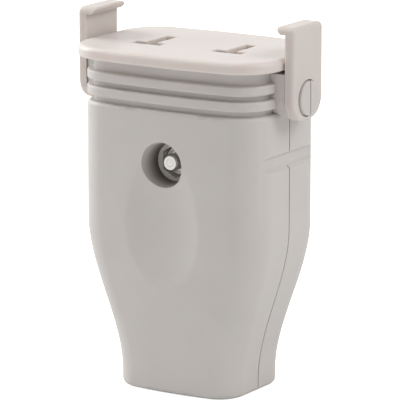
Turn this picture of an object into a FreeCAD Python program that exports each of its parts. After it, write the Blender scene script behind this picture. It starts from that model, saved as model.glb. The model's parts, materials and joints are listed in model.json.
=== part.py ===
import FreeCAD, Part
import math
import os
from FreeCAD import Vector

# Inline socket connector: two half shells, a slotted socket face and two swinging latch arms.
# Millimetres. X runs across the two slots, Y from front to back, Z up from the cord end.

# Plan outline of the housing: straight flanks, round corners and a bowed front and back
body_half_width = 14.2
body_flank_half = 4.4
body_bow = 0.45
body_corner = 4.75
body_height = 39.4
body_rim_round = 0.6

# Plan outline of the cord neck, and the stretch over which the neck swells into the housing
neck_half_width = 9.45
neck_flank_half = 3.45
neck_bow = 0.3
neck_corner = 4.0
neck_end_round = 0.8
swell_start = 1.85
swell_end_drop = 16.1
swell_spans = 8

# Shell walls, parting line and the cord's way in
wall = 1.6
fit_clearance = 0.1
parting_gap_half = 0.11
parting_depth = 0.45
cord_hole_radius = 4.2
cord_hole_length = 9.0

# Grip ribs round the collar, between the body and the socket face
rib_height = 1.3
rib_pitch = 2.1
rib_count = 2
rib_depth = 0.9
rib_round = 0.25
collar_rise = 6.0

# Socket face with its T-shaped slots, and the block below it
face_thickness = 1.6
face_overhang = 1.25
face_top_round = 0.75
face_bottom_round = 0.3
slot_pitch = 12.7
slot_width = 1.7
slot_front = -3.7
slot_back = 3.2
slot_bar_length = 4.6
slot_edge_round = 0.15
block_drop = 1.8
pocket_half_width = 2.7
pocket_half_depth = 4.2
flange_rise = 1.0
flange_height = 1.4
flange_reach = 0.7

# Thumb scoop in the front
scoop_rim_gap = 5.6
scoop_half_height = 12.0
scoop_overrun = 6.7
scoop_depth = 0.95
scoop_cross_radius = 21.0
scoop_lip_round = 3.0

# Through screw and nut that hold the shells together
screw_drop = 7.45
screw_radius = 1.15
screw_hole_radius = 1.3
screw_head_radius = 2.5
screw_head_height = 1.7
screw_slot_width = 0.6
screw_slot_depth = 0.8
screw_end_chamfer = 0.2
head_round = 0.4
shank_overlap = 0.3
recess_radius = 3.2
front_recess_floor_radius = 2.65
front_recess_depth = 3.6
nut_pocket_depth = 2.6
back_recess_depth = 3.1
boss_wall = 1.2
nut_across_flats = 3.9
nut_thickness = 1.8
nut_clearance = 0.06
nut_chamfer = 0.35
nut_face_inset = 0.06
screw_proud = 2.2

# Latch arms, hinged on split studs at the sides of the collar
pivot_rise = 1.95
arm_gap = 0.25
arm_thickness = 1.3
arm_half_width = 3.9
arm_foot = 3.0
arm_foot_round = 3.0
arm_edge_round = 0.5
arm_corner_round = 0.8
arm_web = 0.6
arm_side_play = 0.1
hook_lift = 3.2
hook_reach = 1.4
hook_flat = 0.8
hook_thickness = 1.0
hook_nose = 0.36
hook_nose_round = 0.17
stud_radius = 1.8
stud_clearance = 0.08
stud_head_radius = 2.35
stud_head_clearance = 0.15
stud_head_proud = 0.4
pad_half_width = 3.7
pad_top_gap = 0.5
pad_foot = 2.9
pad_edge_round = 0.25

# Sloped rest in each flank for the hook of a folded arm
rest_lift = 0.7
rest_height = 2.4
rest_floor_height = 1.5
rest_depth = 0.5

# Brass contacts and their terminals
contact_thickness = 0.5
contact_half_depth = 3.1
contact_half_gap = 1.1
throat_half_gap = 0.65
mouth_half_gap = 1.7
mouth_drop = 1.6
mouth_height = 2.8
leaf_root = 4.0
base_gap = 0.55
tab_half_width = 2.9
tab_reach = 4.8
tab_end = 3.6
terminal_screw_radius = 1.25
terminal_head_radius = 2.4
terminal_head_height = 1.4
terminal_screw_length = 5.0
washer_half_width = 2.7
washer_thickness = 0.7
post_radius = 2.3

# Cord clamp across the neck
clamp_rise = 3.6
clamp_half_height = 2.0
clamp_thickness = 1.2
clamp_edge = 0.2
clamp_arch_radius = 3.6
clamp_screw_spacing = 13.2
clamp_screw_radius = 0.9
clamp_head_radius = 1.6
clamp_head_height = 1.1
clamp_screw_length = 5.5
clamp_slot_depth = 0.55
clamp_boss_radius = 1.9

# Values that follow from the ones above
swell_end = body_height - swell_end_drop
collar_height = body_height + collar_rise
face_top = collar_height + face_thickness
face_half_width = body_half_width + face_overhang
body_half_depth = body_flank_half + body_bow + body_corner
neck_half_depth = neck_flank_half + neck_bow + neck_corner
block_bottom = body_height - block_drop
flange_bottom = body_height + flange_rise
scoop_centre_height = body_height - scoop_rim_gap - scoop_half_height
screw_height = body_height - screw_drop
head_seat = body_half_depth - back_recess_depth
front_floor = body_half_depth - front_recess_depth
nut_seat = front_floor - nut_pocket_depth
boss_radius = recess_radius + boss_wall
pivot_height = body_height + pivot_rise
arm_inner = face_half_width + arm_gap
arm_outer = arm_inner + arm_thickness
arm_top = face_top + hook_lift + hook_thickness
stud_face = arm_outer + stud_head_proud
stud_shoulder = arm_inner + arm_web + arm_side_play
pad_face = arm_inner - arm_side_play
pad_top = collar_height - pad_top_gap
folded_hook_height = 2 * pivot_height - arm_top + hook_thickness / 2
rest_centre_height = folded_hook_height + rest_lift
slot_x = slot_pitch / 2
contact_mouth = collar_height - mouth_drop
throat_height = contact_mouth - mouth_height
contact_base = screw_height - boss_radius - base_gap
tab_hole_height = contact_base - tab_reach
tab_bottom = tab_hole_height - tab_end
tab_front = contact_half_depth - contact_thickness
terminal_tip = tab_front - washer_thickness + terminal_screw_length
clamp_height = cord_hole_length + clamp_rise
clamp_tip = clamp_screw_length - clamp_thickness
clamp_x = clamp_screw_spacing / 2
clamp_half_length = clamp_x + clamp_head_radius + clamp_edge
FAR = 200.0


def outline(height, half_width, flank_half, bow, corner, inset=0.0):
    """Closed plan outline of eight tangent edges at one height, drawn in by inset."""
    inner = half_width - corner
    arc_radius = (inner ** 2 + bow ** 2) / (2 * bow)
    lean = math.asin(inner / arc_radius)
    radius = corner - inset
    side = half_width - inset
    middle = (math.pi / 2 - lean) / 2
    join_x = inner + radius * math.sin(lean)
    join_y = flank_half + radius * math.cos(lean)
    bend_x = inner + radius * math.cos(middle)
    bend_y = flank_half + radius * math.sin(middle)
    crown = flank_half + bow + radius

    def at(x, y):
        return Vector(x, y, height)

    edges = [
        Part.LineSegment(at(side, -flank_half), at(side, flank_half)),
        Part.Arc(at(side, flank_half), at(bend_x, bend_y), at(join_x, join_y)),
        Part.Arc(at(join_x, join_y), at(0, crown), at(-join_x, join_y)),
        Part.Arc(at(-join_x, join_y), at(-bend_x, bend_y), at(-side, flank_half)),
        Part.LineSegment(at(-side, flank_half), at(-side, -flank_half)),
        Part.Arc(at(-side, -flank_half), at(-bend_x, -bend_y), at(-join_x, -join_y)),
        Part.Arc(at(-join_x, -join_y), at(0, -crown), at(join_x, -join_y)),
        Part.Arc(at(join_x, -join_y), at(bend_x, -bend_y), at(side, -flank_half)),
    ]
    return Part.Wire([edge.toShape() for edge in edges])


def housing_outline(height, inset=0.0):
    """Outline of the housing at a height: the neck below, the full body above, an S-curve between."""
    share = (height - swell_start) / (swell_end - swell_start)
    share = min(1.0, max(0.0, share))
    share = share * share * (3 - 2 * share)

    def between(neck, body):
        return neck + (body - neck) * share

    return outline(
        height,
        between(neck_half_width, body_half_width),
        between(neck_flank_half, body_flank_half),
        between(neck_bow, body_bow),
        between(neck_corner, body_corner),
        inset,
    )


def housing_solid(bottom, top, inset=0.0):
    """Solid of the housing's outline between two heights: a loft over the swell and a prism above it."""
    step = (swell_end - swell_start) / swell_spans
    swell = [swell_start + step * i for i in range(swell_spans + 1)]
    heights = [bottom] + [h for h in swell if h > bottom + step / 2]
    loft = Part.makeLoft([housing_outline(h, inset) for h in heights], True)
    return loft.fuse(body_prism(swell_end, top, inset)).removeSplitter()


def body_prism(bottom, top, inset):
    """Upright prism of the full body's outline."""
    face = Part.Face(housing_outline(body_height, inset))
    prism = face.extrude(Vector(0, 0, top - bottom))
    prism.translate(Vector(0, 0, bottom - body_height))
    return prism


def edges_at(shape, height):
    """Edges of a shape that lie at one height."""
    box_of = [(edge, edge.BoundBox) for edge in shape.Edges]
    return [e for e, b in box_of if abs(b.ZMin - height) < 1e-4 and abs(b.ZMax - height) < 1e-4]


def box(x0, x1, y0, y1, z0, z1):
    return Part.makeBox(x1 - x0, y1 - y0, z1 - z0, Vector(x0, y0, z0))


def rod_y(x, z, radius, y0, y1):
    """Cylinder along Y."""
    return Part.makeCylinder(radius, y1 - y0, Vector(x, y0, z), Vector(0, 1, 0))


def rod_x(z, radius, x0, x1):
    """Cylinder along X on the arms' pivot line."""
    return Part.makeCylinder(radius, x1 - x0, Vector(x0, 0, z), Vector(1, 0, 0))


def hexagon_y(z, across_flats, y0, y1):
    """Hexagonal prism along Y with two corners up and down."""
    corner = across_flats / math.sqrt(3)
    turns = [math.radians(90 + 60 * i) for i in range(7)]
    points = [Vector(corner * math.cos(t), y0, z + corner * math.sin(t)) for t in turns]
    return Part.Face(Part.makePolygon(points)).extrude(Vector(0, y1 - y0, 0))


def mirrored(shape):
    """The same shape on the other side of the plane between the slots."""
    return shape.mirror(Vector(0, 0, 0), Vector(1, 0, 0))


def tongue(half_width, foot, top, foot_round, x0, x1):
    """Upright plate across X with a round foot, used for the arms and the pads behind them."""
    bottom = pivot_height - foot
    plate = box(x0, x1, -half_width, half_width, bottom, top)
    lower = [e for e in edges_at(plate, bottom) if e.BoundBox.XLength > (x1 - x0) / 2]
    return plate.makeFillet(foot_round, lower)


def grip_ribs():
    """Ribs round the collar, flush with the housing."""
    ribs = []
    for i in range(rib_count):
        top = body_height + (i + 1) * rib_pitch
        bottom = top - rib_height
        rib = body_prism(bottom, top, 0.0)
        ribs.append(rib.makeFillet(rib_round, edges_at(rib, top) + edges_at(rib, bottom)))
    return ribs


def side_pads():
    """Raised pads and split studs that the arms turn on."""
    core_side = body_half_width - rib_depth - wall / 2
    pad = tongue(pad_half_width, pad_foot, pad_top, arm_foot_round, core_side, pad_face)
    pad = pad.makeFillet(pad_edge_round, [e for e in pad.Edges if e.BoundBox.XMin > pad_face - 1e-6])
    stud = rod_x(pivot_height, stud_radius, core_side, stud_face)
    head = rod_x(pivot_height, stud_head_radius, stud_shoulder, stud_face)
    rim = [e for e in head.Edges if abs(e.BoundBox.XMin - stud_face) < 1e-6]
    right = pad.fuse([stud, head.makeFillet(rib_round, rim)])
    return [right, mirrored(right)]


def housing_outside():
    """Everything that the two shells show together, still solid."""
    body = scooped(housing_solid(0.0, body_height))
    body = body.makeFillet(neck_end_round, edges_at(body, 0.0))
    body = body.makeFillet(body_rim_round, edges_at(body, body_height))
    collar = body_prism(body_height - wall, collar_height, rib_depth)
    return body.fuse([collar] + grip_ribs() + side_pads())


def scoop():
    """Shallow oval thumb hollow: an arc turned about an upright axis in front of the part."""
    deepest = -body_half_depth + scoop_depth
    arc_radius = (scoop_half_height ** 2 + scoop_depth ** 2) / (2 * scoop_depth)
    axis_y = deepest - scoop_cross_radius
    reach = scoop_half_height + scoop_overrun
    dip = arc_radius - math.sqrt(arc_radius ** 2 - reach ** 2)

    def at(y, z):
        return Vector(0, y, scoop_centre_height + z)

    arc = Part.Arc(at(deepest - dip, -reach), at(deepest, 0), at(deepest - dip, reach))
    far_side = [at(deepest - dip, reach), at(axis_y, reach), at(axis_y, -reach), at(deepest - dip, -reach)]
    sides = Part.makePolygon(far_side)
    profile = Part.Face(Part.Wire([arc.toShape()] + sides.Edges))
    barrel = profile.revolve(Vector(0, axis_y, 0), Vector(0, 0, 1), 360)
    barrel.rotate(Vector(0, axis_y, 0), Vector(0, 0, 1), 180)
    return barrel


def scooped(body):
    """The body with the thumb scoop in its front, the scoop's lip softened."""
    hollowed = body.cut(scoop())
    lip = []
    for edge in hollowed.Edges:
        middle = edge.CenterOfMass
        if middle.y < -neck_half_depth and abs(middle.x) < scoop_half_height and is_new(body, edge):
            lip.append(edge)
    return hollowed.makeFillet(scoop_lip_round, lip)


def is_new(body, edge):
    """Whether an edge is new on the body, and not one of its own."""
    middle = edge.valueAt((edge.FirstParameter + edge.LastParameter) / 2)
    return min(own.distToShape(Part.Vertex(middle))[0] for own in body.Edges) > 1e-3


def hook_rests():
    """Sloped hollows across the flanks that take the hooks of folded arms."""
    floor = body_half_width - rest_depth
    widen = (rest_height - rest_floor_height) / 2 / rest_depth
    outer = body_half_width + face_overhang
    floor_half = rest_floor_height / 2
    outer_half = floor_half + widen * (outer - floor)

    def at(x, z):
        return Vector(x, -FAR, rest_centre_height + z)

    profile = [at(floor, -floor_half), at(outer, -outer_half), at(outer, outer_half), at(floor, floor_half)]
    right = Part.Face(Part.makePolygon(profile + profile[:1])).extrude(Vector(0, 2 * FAR, 0))
    return [right, mirrored(right)]


def inner_space():
    """Hollow of the closed housing, with the bosses and posts left standing."""
    hollow_top = block_bottom - fit_clearance
    hollow = housing_solid(cord_hole_length, hollow_top, wall)
    boss = rod_y(0, screw_height, boss_radius, -FAR, FAR)
    posts = [rod_y(x, tab_hole_height, post_radius, contact_half_depth, FAR) for x in (-slot_x, slot_x)]
    posts += [rod_y(x, clamp_height, clamp_boss_radius, 0.0, FAR) for x in (-clamp_x, clamp_x)]
    return hollow.cut([boss] + posts)


def block_space():
    """Seat of the socket face's block and of its flange, inside the collar."""
    seat = body_prism(block_bottom - fit_clearance, FAR, rib_depth + wall - fit_clearance)
    groove = body_prism(
        flange_bottom - fit_clearance, flange_bottom + flange_height + fit_clearance,
        rib_depth + wall - flange_reach - fit_clearance,
    )
    return seat.fuse(groove)


def screw_way():
    """Through hole, head seat at the back and hexagonal nut pocket at the front."""
    hole = rod_y(0, screw_height, screw_hole_radius, -FAR, FAR)
    head = rod_y(0, screw_height, recess_radius, head_seat, FAR)
    draft = (recess_radius - front_recess_floor_radius) / (body_half_depth - front_floor)
    reach = 2 * body_half_depth
    front = Part.makeCone(
        front_recess_floor_radius, front_recess_floor_radius + draft * reach, reach,
        Vector(0, -front_floor, screw_height), Vector(0, -1, 0),
    )
    pocket = hexagon_y(screw_height, nut_across_flats + 2 * nut_clearance, -body_half_depth, -nut_seat)
    return hole.fuse([head, front, pocket])


def terminal_pilots():
    """Blind holes in the posts for the tips of the terminal and clamp screws."""
    holes = [
        rod_y(x, tab_hole_height, terminal_screw_radius + fit_clearance, 0, terminal_tip + fit_clearance)
        for x in (-slot_x, slot_x)
    ]
    holes += [rod_y(x, clamp_height, clamp_screw_radius, 0, clamp_tip) for x in (-clamp_x, clamp_x)]
    return holes


def parting_line():
    """Thin groove that shows where the shells meet."""
    slab = box(-FAR, FAR, -parting_gap_half, parting_gap_half, -FAR, FAR)
    core = housing_solid(-wall, body_height, parting_depth)
    collar = body_prism(body_height, FAR, rib_depth + parting_depth)
    stud_core = rod_x(pivot_height, stud_head_radius, parting_depth - pad_face, pad_face - parting_depth)
    return slab.cut(core.fuse([collar, stud_core]))


def shells():
    """Front and rear half of the housing, split on the plane Y = 0."""
    whole = housing_outside()
    cord_hole = Part.makeCylinder(cord_hole_radius, cord_hole_length + 1, Vector(0, 0, -1))
    cuts = [inner_space(), block_space(), cord_hole, screw_way(), parting_line()]
    whole = whole.cut(cuts + hook_rests() + terminal_pilots())
    front = whole.common(box(-FAR, FAR, -FAR, 0, -FAR, FAR))
    rear = whole.common(box(-FAR, FAR, 0, FAR, -FAR, FAR))
    return front, rear


def socket_insert():
    """Slotted face with the pocketed block that carries the contacts."""
    face = outline(collar_height, face_half_width, body_flank_half, body_bow, body_corner + face_overhang)
    plate = Part.Face(face).extrude(Vector(0, 0, face_thickness))
    plate = plate.makeFillet(face_top_round, edges_at(plate, face_top))
    plate = plate.makeFillet(face_bottom_round, edges_at(plate, collar_height))
    block = body_prism(block_bottom, collar_height, rib_depth + wall)
    flange = body_prism(flange_bottom, flange_bottom + flange_height, rib_depth + wall - flange_reach)
    insert = plate.fuse([block, flange])
    for x in (-slot_x, slot_x):
        half = slot_width / 2
        slit = box(x - half, x + half, slot_front, slot_back, block_bottom - 1, FAR)
        bar = box(
            x - slot_bar_length / 2, x + slot_bar_length / 2, slot_front, slot_front + slot_width,
            block_bottom - 1, FAR,
        )
        pocket = box(
            x - pocket_half_width, x + pocket_half_width, -pocket_half_depth, pocket_half_depth,
            block_bottom - 1, collar_height,
        )
        insert = insert.cut([slit, bar, pocket]).removeSplitter()
    slot_rims = []
    for edge in edges_at(insert, face_top):
        span = edge.BoundBox
        if max(-span.YMin, span.YMax) < pocket_half_depth and span.XLength < slot_pitch:
            slot_rims.append(edge)
    return insert.makeFillet(slot_edge_round, slot_rims)


def latch_arm():
    """Right-hand arm: a flat tongue with an inward hook on top and a counterbored pivot hole."""
    arm = tongue(arm_half_width, arm_foot, arm_top, arm_foot_round, arm_inner, arm_outer)
    under = arm_top - hook_thickness
    tip = arm_inner - hook_reach
    profile = [
        (arm_outer, under), (arm_outer, arm_top), (tip, arm_top), (tip, arm_top - hook_nose),
        (arm_inner - hook_flat, under),
    ]
    points = [Vector(x, -arm_half_width, z) for x, z in profile]
    hook = Part.Face(Part.makePolygon(points + points[:1])).extrude(Vector(0, 2 * arm_half_width, 0))
    arm = arm.fuse(hook).removeSplitter()
    corners = [e for e in edges_at(arm, arm_top) if e.BoundBox.XLength > arm_thickness]
    arm = arm.makeFillet(arm_corner_round, corners)
    nose = [e for e in arm.Edges if e.BoundBox.XMax < tip + 1e-6 and e.BoundBox.YLength > arm_half_width]
    arm = arm.makeFillet(hook_nose_round, nose)
    arm = arm.makeFillet(arm_edge_round, [e for e in arm.Edges if e.BoundBox.XMin > arm_outer - 1e-6])
    hole = rod_x(pivot_height, stud_radius + stud_clearance, arm_inner - 1, FAR)
    recess = rod_x(pivot_height, stud_head_radius + stud_head_clearance, arm_inner + arm_web, FAR)
    return arm.cut([hole, recess])


def contact():
    """Right-hand brass contact: two sprung leaves on a base, and a tab with the terminal hole."""
    half, thick = contact_half_gap, contact_thickness

    def leaf(side):
        profile = [
            (half, contact_base), (half, contact_base + leaf_root),
            (throat_half_gap, throat_height), (mouth_half_gap, contact_mouth),
        ]
        profile += [(x + thick, z) for x, z in reversed(profile)]
        points = [Vector(slot_x + side * x, -contact_half_depth, z) for x, z in profile]
        return Part.Face(Part.makePolygon(points + points[:1])).extrude(Vector(0, 2 * contact_half_depth, 0))

    base = box(
        slot_x - half - thick, slot_x + half + thick, -contact_half_depth, contact_half_depth,
        contact_base - thick, contact_base,
    )
    tab = box(
        slot_x - tab_half_width, slot_x + tab_half_width, tab_front, contact_half_depth,
        tab_bottom, contact_base,
    )
    hole = rod_y(slot_x, tab_hole_height, terminal_screw_radius, -FAR, FAR)
    return base.fuse([leaf(-1), leaf(1), tab]).removeSplitter().cut(hole)


def slotted_head(x, z, radius, height, under, slot_width, slot_depth):
    """Cheese head that faces the front, its underside at one Y, with a screwdriver slot."""
    head = rod_y(x, z, radius, under - height, under)
    rim = [e for e in head.Edges if e.BoundBox.YMax < under - height + 1e-6]
    head = head.makeFillet(head_round, rim)
    top = under - height
    return head.cut(box(x - FAR, x + FAR, top - 1, top + slot_depth, z - slot_width / 2, z + slot_width / 2))


def terminal_screw():
    under = tab_front - washer_thickness
    head = slotted_head(
        slot_x, tab_hole_height, terminal_head_radius, terminal_head_height, under,
        screw_slot_width, screw_slot_depth,
    )
    radius = terminal_screw_radius - fit_clearance / 2
    shank = rod_y(slot_x, tab_hole_height, radius, under - shank_overlap, terminal_tip)
    return head.fuse(shank).removeSplitter()


def terminal_washer():
    """Square saddle washer that holds the bared wire."""
    front = tab_front - washer_thickness
    washer = box(
        slot_x - washer_half_width, slot_x + washer_half_width, front, tab_front,
        tab_hole_height - washer_half_width, tab_hole_height + washer_half_width,
    )
    upright = [e for e in washer.Edges if e.BoundBox.YLength > washer_thickness / 2]
    washer = washer.makeFillet(washer_thickness, upright)
    return washer.cut(rod_y(slot_x, tab_hole_height, terminal_screw_radius, -FAR, FAR))


def cord_clamp():
    """Arched bar that holds the cord against the rear shell."""
    low, high = clamp_height - clamp_half_height, clamp_height + clamp_half_height
    outer = clamp_arch_radius + clamp_thickness
    arch = Part.makeCylinder(outer, high - low, Vector(0, 0, low))
    arch = arch.common(box(-FAR, FAR, -FAR, 0, low, high))
    bar = box(-clamp_half_length, clamp_half_length, -clamp_thickness, 0, low, high)
    clamp = bar.fuse(arch).cut(Part.makeCylinder(clamp_arch_radius, high - low, Vector(0, 0, low)))
    return clamp.cut([rod_y(x, clamp_height, clamp_screw_radius, -FAR, FAR) for x in (-clamp_x, clamp_x)])


def cord_clamp_screws():
    """Pair of self-tapping screws of the cord clamp."""
    screws = []
    radius = clamp_screw_radius - fit_clearance / 2
    for x in (-clamp_x, clamp_x):
        head = slotted_head(
            x, clamp_height, clamp_head_radius, clamp_head_height, -clamp_thickness,
            screw_slot_width, clamp_slot_depth,
        )
        shank = rod_y(x, clamp_height, radius, -clamp_thickness - shank_overlap, clamp_tip)
        screws.append(head.fuse(shank).removeSplitter())
    return Part.makeCompound(screws)


def assembly_screw():
    """Through screw, its head at the back and its chamfered end in the nut at the front."""
    tip = -(nut_seat + nut_thickness + screw_proud)
    shank = rod_y(0, screw_height, screw_radius, tip, head_seat + shank_overlap)
    end = [e for e in shank.Edges if e.BoundBox.YMax < tip + 1e-6]
    shank = shank.makeChamfer(screw_end_chamfer, end)
    head = rod_y(0, screw_height, screw_head_radius, head_seat, head_seat + screw_head_height)
    rim = [e for e in head.Edges if e.BoundBox.YMin > head_seat + screw_head_height - 1e-6]
    head = head.makeFillet(head_round, rim)
    top = head_seat + screw_head_height
    slot_half = screw_slot_width / 2
    slot = box(-FAR, FAR, top - screw_slot_depth, FAR, screw_height - slot_half, screw_height + slot_half)
    return shank.fuse(head.cut(slot)).removeSplitter()


def assembly_nut():
    """Hexagonal nut with chamfered corners on the side that shows."""
    face = nut_seat + nut_thickness
    nut = hexagon_y(screw_height, nut_across_flats, -face, -nut_seat)
    corner = nut_across_flats / math.sqrt(3)
    top = nut_across_flats / 2 - nut_face_inset
    slope = (corner - top) / nut_chamfer
    cone = Part.makeCone(
        top, top + slope * nut_thickness, nut_thickness, Vector(0, -face, screw_height), Vector(0, 1, 0),
    )
    return nut.common(cone).cut(rod_y(0, screw_height, screw_radius, -FAR, FAR))


def main():
    os.makedirs("parts", exist_ok=True)
    front, rear = shells()
    arm, clip = latch_arm(), contact()
    screw, washer = terminal_screw(), terminal_washer()
    parts = {
        "front_shell": front,
        "rear_shell": rear,
        "socket_insert": socket_insert(),
        "right_latch_arm": arm,
        "left_latch_arm": mirrored(arm),
        "right_contact": clip,
        "left_contact": mirrored(clip),
        "right_terminal_screw": screw,
        "left_terminal_screw": mirrored(screw),
        "right_terminal_washer": washer,
        "left_terminal_washer": mirrored(washer),
        "cord_clamp": cord_clamp(),
        "cord_clamp_screws": cord_clamp_screws(),
        "assembly_screw": assembly_screw(),
        "assembly_nut": assembly_nut(),
    }
    for name, shape in parts.items():
        print(name, len(shape.Solids), shape.isValid(), round(shape.Volume, 1), shape.BoundBox)
        shape.exportStep(f"parts/{name}.step")


main()
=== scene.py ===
"""Looks of the inline socket connector: moulded shells, slotted face, latch arms and metal parts.

The frame gives the solids; each gets a smooth copy in the finish of its material, under soft studio light.
"""

import json
import math

import bpy
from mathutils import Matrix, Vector
from mathutils.kdtree import KDTree


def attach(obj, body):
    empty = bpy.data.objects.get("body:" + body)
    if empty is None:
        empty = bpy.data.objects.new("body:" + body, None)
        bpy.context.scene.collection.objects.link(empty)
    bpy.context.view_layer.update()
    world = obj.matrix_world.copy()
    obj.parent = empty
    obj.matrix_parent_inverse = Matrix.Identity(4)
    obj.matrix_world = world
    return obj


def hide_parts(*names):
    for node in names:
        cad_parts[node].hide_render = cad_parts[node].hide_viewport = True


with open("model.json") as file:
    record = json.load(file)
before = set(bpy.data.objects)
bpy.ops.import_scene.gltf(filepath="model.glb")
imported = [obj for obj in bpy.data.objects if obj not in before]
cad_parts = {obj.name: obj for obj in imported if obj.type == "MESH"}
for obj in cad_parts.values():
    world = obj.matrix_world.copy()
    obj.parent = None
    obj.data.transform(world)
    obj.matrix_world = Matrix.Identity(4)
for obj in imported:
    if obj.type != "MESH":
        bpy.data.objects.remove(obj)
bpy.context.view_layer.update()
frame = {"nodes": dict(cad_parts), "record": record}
MM = 0.001

# A point on the axis, along Y, of the nut's hole in front and of the screw's recess behind.
SCREW_AXIS = (0, 0, 31.95 * MM)
# Height of the body's rounded rim, and the radius of the rounding.
RIM_TOP = 39.4 * MM
RIM_RADIUS = 0.6 * MM
# Facets that meet at less than this angle are shaded as one curve.
SMOOTH_ANGLE = math.radians(34)
# Points of a mesh that are nearer than this become one.
SAME_POINT = 0.001 * MM
# Distance between the rings of the wave texture at a scale of 1.
RING_PITCH = math.tau / 20
# Strength of the white surround as a light, and as the eye and the reflections see it.
SURROUND_LIGHT = 0.372
SURROUND_SEEN = 1.0
# Light that the floor adds to what the camera sees of it.
PAPER_GLOW = 0.75
# A point near the middle of the part, at which the lamps are aimed.
LAMP_TARGET = Vector((0, 0, 0.028))
WHITE = (1, 1, 1, 1)


def linear(hex_colour):
    """sRGB hex to the linear colour that shaders take."""
    parts = [int(hex_colour[i:i + 2], 16) / 255 for i in (1, 3, 5)]
    return [c / 12.92 if c <= 0.04045 else ((c + 0.055) / 1.055) ** 2.4 for c in parts] + [1.0]


def add(tree, kind, settings=None, **links):
    """Adds one node: settings are its properties or its sockets' values, and links feed its sockets.

    The key of a link is the socket's name, or the letter n and the socket's number.
    """
    node = tree.nodes.new(kind)
    for key, value in (settings or {}).items():
        if isinstance(key, int) or key in node.inputs:
            node.inputs[key].default_value = value
        else:
            setattr(node, key, value)
    for key, source in links.items():
        numbered = key[0] == "n" and key[1:].isdigit()
        socket = int(key[1:]) if numbered else key
        tree.links.new(source, node.inputs[socket])
    return node


def new_material(name):
    """A new material with its node tree, its shader and the place on the piece that patterns follow."""
    material = bpy.data.materials.new(name)
    material.use_nodes = True
    tree = material.node_tree
    place = add(tree, "ShaderNodeTexCoord").outputs["Object"]
    return material, tree, tree.nodes["Principled BSDF"], place


def noise(tree, place, size_mm, detail):
    """Soft random pattern with patches of about the given size."""
    pattern = add(tree, "ShaderNodeTexNoise", {"Scale": 1 / (size_mm * MM), "Detail": detail}, Vector=place)
    return pattern.outputs["Fac"]


def tint(tree, pattern, shade, base, low=0.0, high=1.0):
    """Colour that goes from shade to base as the pattern goes from low to high."""
    ramp = add(tree, "ShaderNodeValToRGB", Fac=pattern)
    start, end = ramp.color_ramp.elements
    start.position = low
    start.color = linear(shade)
    end.position = high
    end.color = linear(base)
    return ramp.outputs["Color"]


def skin(tree, shader, pattern, roughness, spread, bump, depth_mm):
    """Lets the pattern vary the roughness by the spread each way, and raise a fine relief."""
    limits = {"To Min": roughness - spread, "To Max": roughness + spread}
    gloss = add(tree, "ShaderNodeMapRange", limits, Value=pattern)
    relief = add(tree, "ShaderNodeBump", {"Strength": bump, "Distance": depth_mm * MM}, Height=pattern)
    tree.links.new(gloss.outputs["Result"], shader.inputs["Roughness"])
    tree.links.new(relief.outputs["Normal"], shader.inputs["Normal"])


def with_painted_recess_shade(tree, place, colour, painted_shade, axis, wall_from, wall_to, mouth, floor):
    """The colour with painted shade over it on the walls of the recesses about an axis along Y.

    The painted shade lies between the distances wall_from and wall_to from the axis. It grows darker from
    the mouth to the floor, which are distances from the plane Y = 0, and stands in for the shadow deep in a
    recess.
    """
    offset = add(tree, "ShaderNodeVectorMath", {"operation": "SUBTRACT", 1: axis}, n0=place)
    across = add(tree, "ShaderNodeVectorMath", {"operation": "MULTIPLY", 1: (1, 0, 1)}, n0=offset.outputs[0])
    reach = add(tree, "ShaderNodeVectorMath", {"operation": "LENGTH"}, n0=across.outputs[0])
    band = {"operation": "COMPARE", 1: (wall_from + wall_to) / 2, 2: (wall_to - wall_from) / 2}
    wall = add(tree, "ShaderNodeMath", band, n0=reach.outputs["Value"])
    along = add(tree, "ShaderNodeSeparateXYZ", Vector=place)
    depth = add(tree, "ShaderNodeMath", {"operation": "ABSOLUTE"}, n0=along.outputs["Y"])
    growth = {"interpolation_type": "SMOOTHSTEP", "From Min": mouth, "From Max": floor}
    deep = add(tree, "ShaderNodeMapRange", growth, Value=depth.outputs[0])
    amount = add(
        tree, "ShaderNodeMath", {"operation": "MULTIPLY"},
        n0=wall.outputs[0], n1=deep.outputs["Result"],
    )
    # Painted shade: the dark colour is mixed in by the amount above, not cast by any lamp.
    mixed = add(
        tree, "ShaderNodeMix", {"data_type": "RGBA", 7: linear(painted_shade)},
        n0=amount.outputs[0], n6=colour,
    )
    return mixed.outputs[2]


def moulded_plastic(name, base, shade, roughness, grain_mm, bump, soak, soak_mm, painted_shade=None):
    """Moulded plastic: satin skin with the mould's fine grain, faint clouds, and light soaking in.

    soak is the share of the light that enters the skin, and soak_mm is how far it spreads there. The last
    argument holds the settings of the painted shade on recess walls, for a piece that has it.
    """
    material, tree, shader, place = new_material(name)
    clouds = noise(tree, place, size_mm=9, detail=3.0)
    colour = tint(tree, clouds, shade, base, low=0.3, high=0.7)
    # Painted shade, darker towards the floor, on the walls of the piece's recesses.
    if painted_shade:
        colour = with_painted_recess_shade(tree, place, colour, **painted_shade)
    tree.links.new(colour, shader.inputs["Base Color"])
    grain = noise(tree, place, grain_mm, detail=2.0)
    skin(tree, shader, grain, roughness, spread=0.05, bump=bump, depth_mm=0.02)
    shader.inputs["IOR"].default_value = 1.5
    shader.inputs["Subsurface Weight"].default_value = soak
    # Red light spreads furthest, which warms the thin edges.
    shader.inputs["Subsurface Radius"].default_value = (1.0, 0.75, 0.65)
    shader.inputs["Subsurface Scale"].default_value = soak_mm * MM
    return material


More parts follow.
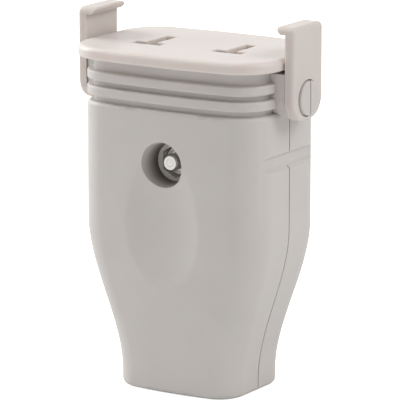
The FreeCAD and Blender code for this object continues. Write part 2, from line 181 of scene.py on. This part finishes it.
def bright_metal(name, base, shade, roughness, mark_mm, turned_about=None):
    """Bare or plated metal: shiny, with the marks of its making about mark_mm apart.

    The marks are rolling streaks along Z, or turned rings about an axis along Y through a given point.
    """
    material, tree, shader, place = new_material(name)
    if turned_about:
        centred = add(tree, "ShaderNodeVectorMath", {"operation": "SUBTRACT", 1: turned_about}, n0=place)
        rings = {"wave_type": "RINGS", "rings_direction": "Y", "Distortion": 2.0, "Detail": 2.0}
        rings["Scale"] = RING_PITCH / (mark_mm * MM)
        marks = add(tree, "ShaderNodeTexWave", rings, Vector=centred.outputs[0]).outputs["Fac"]
    else:
        drawn_out = add(tree, "ShaderNodeMapping", {"Scale": (1, 1, 0.1)}, Vector=place)
        marks = noise(tree, drawn_out.outputs[0], mark_mm, detail=2.0)
    tree.links.new(tint(tree, marks, shade, base), shader.inputs["Base Color"])
    skin(tree, shader, marks, roughness, spread=0.06, bump=0.2, depth_mm=0.01)
    shader.inputs["Metallic"].default_value = 1.0
    return material


# Painted shade on the walls of the nut's hole and of the screw's recess, darker towards their floors.
recess_painted_shade = {
    "painted_shade": "#5a4d49",
    "axis": SCREW_AXIS,
    "wall_from": 2.67 * MM,
    "wall_to": 3.3 * MM,
    "mouth": 9.3 * MM,
    "floor": 6.0 * MM,
}
finishes = {
    # Rigid PVC, warm light grey, from an eroded mould: even and matt, with soft highlights on its curves.
    # The shells' screw recesses carry painted shade on their walls.
    "shell": moulded_plastic(
        "moulded_pvc_grey", base="#cfcac6", shade="#cbc6c2", roughness=0.5, grain_mm=0.35, bump=0.25,
        soak=0.3, soak_mm=0.5, painted_shade=recess_painted_shade,
    ),
    # Urea moulding: whiter and denser, a little glossier, and milky where it is thin.
    "face": moulded_plastic(
        "moulded_urea_warm_white", base="#d9d1cc", shade="#d5cdc8", roughness=0.42, grain_mm=0.4, bump=0.2,
        soak=0.6, soak_mm=2.0,
    ),
    # Nylon: warm and slightly waxy, with edges that the light softens.
    "arm": moulded_plastic(
        "moulded_nylon_warm_grey", base="#d6cdc7", shade="#d2c9c3", roughness=0.45, grain_mm=0.4, bump=0.2,
        soak=0.4, soak_mm=0.8,
    ),
    # Rigid PVC like the shells', a shade darker: matt and plain.
    "clamp": moulded_plastic(
        "moulded_pvc_clamp", base="#c6c1bd", shade="#c2bdb9", roughness=0.5, grain_mm=0.35, bump=0.25,
        soak=0.3, soak_mm=0.5,
    ),
    # Rolled brass strip: yellow, with dull streaks along the roll.
    "contact": bright_metal("rolled_brass", base="#d9b36a", shade="#c9a25a", roughness=0.3, mark_mm=0.6),
    # Pressed brass: the same yellow as the strip, with a duller shine.
    "washer": bright_metal("pressed_brass", base="#d9b36a", shade="#c9a25a", roughness=0.35, mark_mm=0.6),
    # Bright nickel on turned steel: near white, clear glints and fine tool marks.
    "steel": bright_metal(
        "nickel_plated_steel", base="#e2e0dc", shade="#d0ceca", roughness=0.22, mark_mm=0.5,
        turned_about=SCREW_AXIS,
    ),
}
record = frame["record"]
slot_of = {part["node"]: part["material_slot"] for part in record["subparts"]}
body_of = {node: body for body, nodes in record["behaviour"]["bodies"].items() for node in nodes}


def wall_directions(mesh, start):
    """Outward direction of the body's wall at each point where the rim's rounding starts."""
    # What counts as the same height, as upright, and as the seam between the shells.
    same_height = 0.002 * MM
    most_lean = 0.02
    seam_half = 0.05 * MM
    outward = {v.index: Vector() for v in mesh.vertices if abs(v.co.z - start) < same_height}
    for face in mesh.polygons:
        upright = abs(face.normal.z) < most_lean
        off_seam = abs(face.center.y) > seam_half
        if upright and off_seam and face.center.z < start:
            for index in face.vertices:
                if index in outward:
                    outward[index] += face.normal * face.area
    return {index: out.normalized() for index, out in outward.items() if out.length > 0}


def even_rim(mesh, top, radius):
    """Shades the body's rounded rim square to its curve, where long facets would leave it uneven."""
    # How far a point may stray past the rounding's ends, as a share of its height, and from its curve.
    rise_slack = 0.01
    curve_slack = 0.12 * MM
    # Smallest distance in the weights, and smallest cosine between an old and a new direction.
    least_distance = 0.01 * MM
    least_likeness = 0.6
    start = top - radius
    outward = wall_directions(mesh, start)
    wall = KDTree(len(outward))
    for index in outward:
        point = mesh.vertices[index].co
        wall.insert((point.x, point.y, 0), index)
    wall.balance()

    # The wanted direction at each point of the rounding: out from the wall at its foot, up at its top.
    square = {}
    for vertex in mesh.vertices:
        rise = (vertex.co.z - start) / radius
        if not -rise_slack < rise < 1 + rise_slack:
            continue
        near = wall.find_n((vertex.co.x, vertex.co.y, 0), 2)
        out = Vector()
        for _, index, distance in near:
            out += outward[index] / (distance + least_distance)
        out.normalize()
        rise = min(max(rise, 0.0), 1.0)
        level = math.sqrt(1 - rise * rise)
        nearest = mesh.vertices[near[0][1]].co
        inset = (nearest - vertex.co).dot(out)
        if abs(inset - radius * (1 - level)) < curve_slack:
            square[vertex.index] = out * level + Vector((0, 0, rise))

    # Corners of faces that look another way, such as the seam's, keep their own direction.
    normals = [corner.vector.copy() for corner in mesh.corner_normals]
    for loop in mesh.loops:
        wanted = square.get(loop.vertex_index)
        if wanted and normals[loop.index].dot(wanted) > least_likeness:
            normals[loop.index] = wanted
    mesh.normals_split_custom_set(normals)


def smooth_copy(node):
    """Copy of a CAD node with joined facets and smooth curves, standing for it."""
    bpy.ops.object.select_all(action="DESELECT")
    piece = bpy.data.objects.new(node + "_look", frame["nodes"][node].data.copy())
    bpy.context.scene.collection.objects.link(piece)
    bpy.context.view_layer.objects.active = piece
    piece.select_set(True)
    bpy.ops.mesh.customdata_custom_splitnormals_clear()
    bpy.ops.object.mode_set(mode="EDIT")
    bpy.ops.mesh.select_all(action="SELECT")
    bpy.ops.mesh.remove_doubles(threshold=SAME_POINT)
    bpy.ops.object.mode_set(mode="OBJECT")
    bpy.ops.object.shade_smooth_by_angle(angle=SMOOTH_ANGLE)
    # Large faces rule the shading, so flats stay flat beside their rounded edges.
    weigh = piece.modifiers.new("even_shading", "WEIGHTED_NORMAL")
    weigh.keep_sharp = True
    weigh.weight = 100
    bpy.ops.object.modifier_apply(modifier=weigh.name)
    if node.endswith("_shell"):
        even_rim(piece.data, RIM_TOP, RIM_RADIUS)
    piece.data.materials.clear()
    piece.data.materials.append(finishes[slot_of[node]])
    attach(piece, body_of[node])
    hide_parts(node)


def surround():
    """White all round: full white to the camera and in reflections, weaker as a light."""
    world = bpy.data.worlds.new("studio_white")
    bpy.context.scene.world = world
    world.use_nodes = True
    tree = world.node_tree
    tree.nodes.clear()
    path = add(tree, "ShaderNodeLightPath")
    seen = path.outputs["Is Camera Ray"]
    for ray in ("Is Glossy Ray", "Is Transmission Ray"):
        either = add(tree, "ShaderNodeMath", {"operation": "MAXIMUM"}, n0=seen, n1=path.outputs[ray])
        seen = either.outputs[0]
    limits = {"To Min": SURROUND_LIGHT, "To Max": SURROUND_SEEN}
    strength = add(tree, "ShaderNodeMapRange", limits, Value=seen)
    sky = add(tree, "ShaderNodeBackground", {"Color": WHITE}, Strength=strength.outputs["Result"])
    add(tree, "ShaderNodeOutputWorld", Surface=sky.outputs[0])


def paper_floor():
    """Floor that the part stands on."""
    bpy.ops.mesh.primitive_plane_add(size=3.0, location=(0, 0, 0))
    floor = bpy.context.object
    floor.name = "floor"
    # White paper: pure white ground without a shadow, which throws light up at the part.
    material = bpy.data.materials.new("white_paper")
    material.use_nodes = True
    tree = material.node_tree
    tree.nodes.clear()
    seen = add(tree, "ShaderNodeLightPath").outputs["Is Camera Ray"]
    glow = add(tree, "ShaderNodeMath", {"operation": "MULTIPLY", 1: PAPER_GLOW}, n0=seen)
    paper = add(tree, "ShaderNodeBsdfDiffuse", {"Color": linear("#f4f4f4")})
    white = add(tree, "ShaderNodeEmission", {"Color": WHITE}, Strength=glow.outputs[0])
    both = add(tree, "ShaderNodeAddShader", n0=paper.outputs[0], n1=white.outputs[0])
    add(tree, "ShaderNodeOutputMaterial", Surface=both.outputs[0])
    floor.data.materials.append(material)


def lamp(name, place, size, power):
    """Square soft lamp, aimed at the part."""
    data = bpy.data.lights.new(name, "AREA")
    data.size = size
    data.energy = power
    light = bpy.data.objects.new(name, data)
    bpy.context.scene.collection.objects.link(light)
    light.location = place
    light.rotation_euler = (LAMP_TARGET - Vector(place)).to_track_quat("-Z", "Y").to_euler()


def camera():
    """Camera at the photograph's viewing angle, half a metre off."""
    turn = math.radians(31.9)
    tilt = math.radians(12.5)
    away = 0.5
    target = Vector((0.0001, 0.00006, 0.02552))
    back = Vector((math.sin(turn) * math.cos(tilt), -math.cos(turn) * math.cos(tilt), math.sin(tilt)))
    data = bpy.data.cameras.new("camera")
    data.sensor_width = 36
    data.lens = 331.6
    data.clip_end = 10
    eye = bpy.data.objects.new("camera", data)
    bpy.context.scene.collection.objects.link(eye)
    eye.location = target + back * away
    eye.rotation_euler = back.to_track_quat("Z", "Y").to_euler()
    bpy.context.scene.camera = eye


for node in frame["nodes"]:
    smooth_copy(node)

bpy.context.scene.view_settings.view_transform = "Standard"
surround()
paper_floor()
lamp("right_softbox", place=(0.5, 0.1, 0.5), size=0.4, power=1.92)
lamp("left_softbox", place=(-0.6, 0.0, 0.35), size=0.4, power=3.4)
lamp("top_softbox", place=(-0.1, -0.1, 0.7), size=0.5, power=0.85)
lamp("front_fill", place=(0.0, -0.6, 0.06), size=0.5, power=0.22)
camera()
